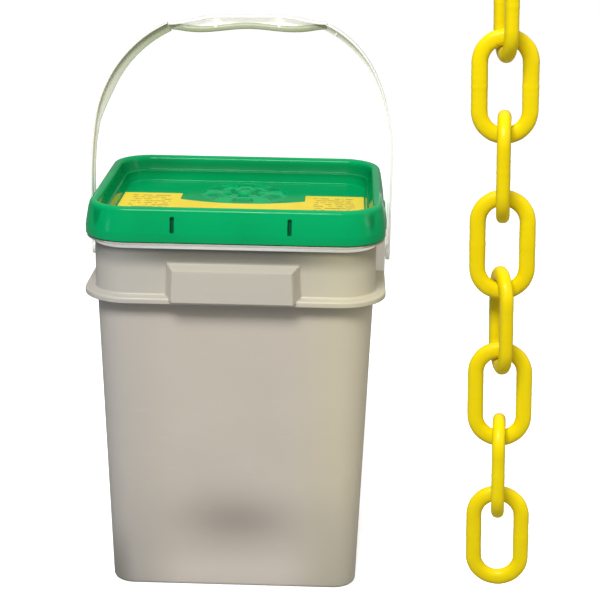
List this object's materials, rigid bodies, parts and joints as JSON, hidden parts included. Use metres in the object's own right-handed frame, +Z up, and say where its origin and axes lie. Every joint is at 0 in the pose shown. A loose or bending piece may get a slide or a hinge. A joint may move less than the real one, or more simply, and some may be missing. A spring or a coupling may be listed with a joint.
{
  "type": "plastic barrier chain in a storage pail",
  "caption": "Plastic barrier chain with its storage pail: rectangular pail, press-on lid, swinging bail, coiled chain inside and a hanging length of linked chain beside it.",
  "frame": {"origin": "centre of the pail's base, on the floor", "axes": "+X to the right along the pail's long side, +Y to the back, +Z up; the label's end of the lid faces -Y"},
  "size_m": [0.365, 0.4982, 0.596],
  "materials": {
    "pail_plastic": "satin moulded polyethylene",
    "lid_plastic": "glossy moulded polyethylene",
    "gasket_foam": "soft tube gasket",
    "label_paper": "satin coated label",
    "bail_plastic": "translucent natural polyethylene",
    "chain_plastic": "soft sheen moulded polyethylene"
  },
  "bodies": {
    "pail": {"pail_body": "pail_plastic", "stored_chain_turn_1": "chain_plastic", "stored_chain_turn_2": "chain_plastic", "stored_chain_turn_3": "chain_plastic", "stored_chain_turn_4": "chain_plastic", "stored_chain_turn_5": "chain_plastic"},
    "lid": {"lid": "lid_plastic", "lid_gasket": "gasket_foam", "lid_label": "label_paper"},
    "bail": {"bail_handle": "bail_plastic"},
    "link_1": {"chain_link_1": "chain_plastic"},
    "link_2": {"chain_link_2": "chain_plastic"},
    "link_3": {"chain_link_3": "chain_plastic"},
    "link_4": {"chain_link_4": "chain_plastic"},
    "link_5": {"chain_link_5": "chain_plastic"},
    "link_6": {"chain_link_6": "chain_plastic"},
    "link_7": {"chain_link_7": "chain_plastic"},
    "link_8": {"chain_link_8": "chain_plastic"}
  },
  "joints": [
    {"name": "lid_lift", "type": "slide", "parent": "pail", "child": "lid", "axis": [0, 0, 1], "range_m": [0, 0.03]},
    {"name": "bail_swing", "type": "hinge", "parent": "pail", "child": "bail", "pos_m": [0, 0, 0.292], "axis": [1, 0, 0], "range_deg": [-140, 140]},
    {"name": "chain_lift", "type": "slide", "parent": "pail", "child": "link_1", "axis": [0, 0, 1], "range_m": [0, 0.05]},
    {"name": "link_1_2", "type": "hinge", "parent": "link_1", "child": "link_2", "pos_m": [0.19517, -0.357, 0.52542], "axis": [0.1253, -0.9921, 0.0044], "range_deg": [-90, 90]},
    {"name": "link_2_3", "type": "hinge", "parent": "link_2", "child": "link_3", "pos_m": [0.19703, -0.357, 0.47185], "axis": [0.9943, -0.1011, 0.0347], "range_deg": [-90, 90]},
    {"name": "link_3_4", "type": "hinge", "parent": "link_3", "child": "link_4", "pos_m": [0.19891, -0.357, 0.41828], "axis": [0.101, 0.9949, 0.0035], "range_deg": [-90, 90]},
    {"name": "link_4_5", "type": "hinge", "parent": "link_4", "child": "link_5", "pos_m": [0.20078, -0.357, 0.36472], "axis": [0.9943, -0.1011, 0.0347], "range_deg": [-90, 90]},
    {"name": "link_5_6", "type": "hinge", "parent": "link_5", "child": "link_6", "pos_m": [0.20265, -0.357, 0.31115], "axis": [0.1253, -0.9921, 0.0044], "range_deg": [-90, 90]},
    {"name": "link_6_7", "type": "hinge", "parent": "link_6", "child": "link_7", "pos_m": [0.20452, -0.357, 0.25758], "axis": [0.9943, -0.1011, 0.0347], "range_deg": [-90, 90]},
    {"name": "link_7_8", "type": "hinge", "parent": "link_7", "child": "link_8", "pos_m": [0.20639, -0.357, 0.20401], "axis": [0.101, 0.9949, 0.0035], "range_deg": [-90, 90]}
  ]
}
